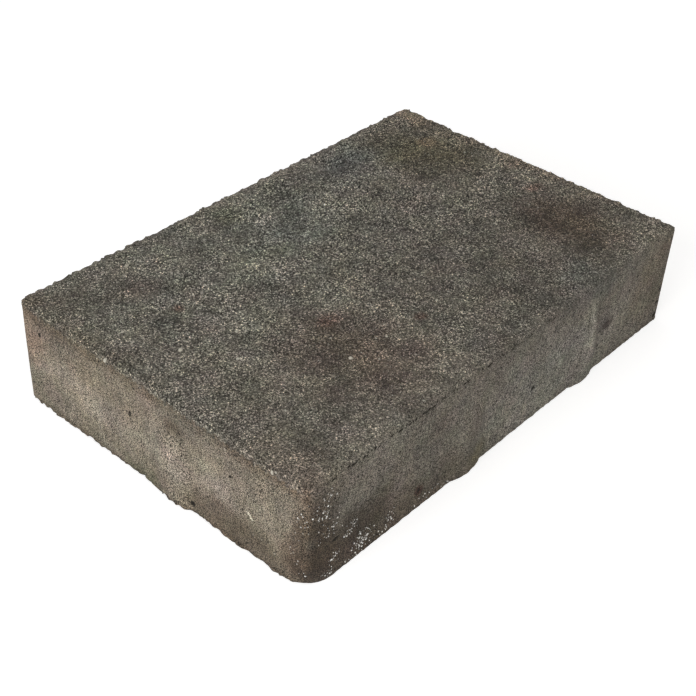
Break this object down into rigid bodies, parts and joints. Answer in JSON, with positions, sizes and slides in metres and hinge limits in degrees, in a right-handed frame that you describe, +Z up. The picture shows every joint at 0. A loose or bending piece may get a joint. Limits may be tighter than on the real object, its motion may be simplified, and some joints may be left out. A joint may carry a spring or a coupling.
{
  "type": "concrete paving slab",
  "caption": "Rectangular pressed concrete paving slab with shallow spacer nibs on its sides, a granular wearing face and one knocked bottom corner.",
  "frame": {"origin": "centre of the bed face, the flat underside that the slab lies on", "axes": "+X along the slab's length, +Y across its width, +Z up to the wearing face"},
  "size_m": [0.3018, 0.2018, 0.062],
  "materials": {
    "concrete": "matte"
  },
  "bodies": {
    "root": {"paving_slab": "concrete"}
  },
  "joints": []
}
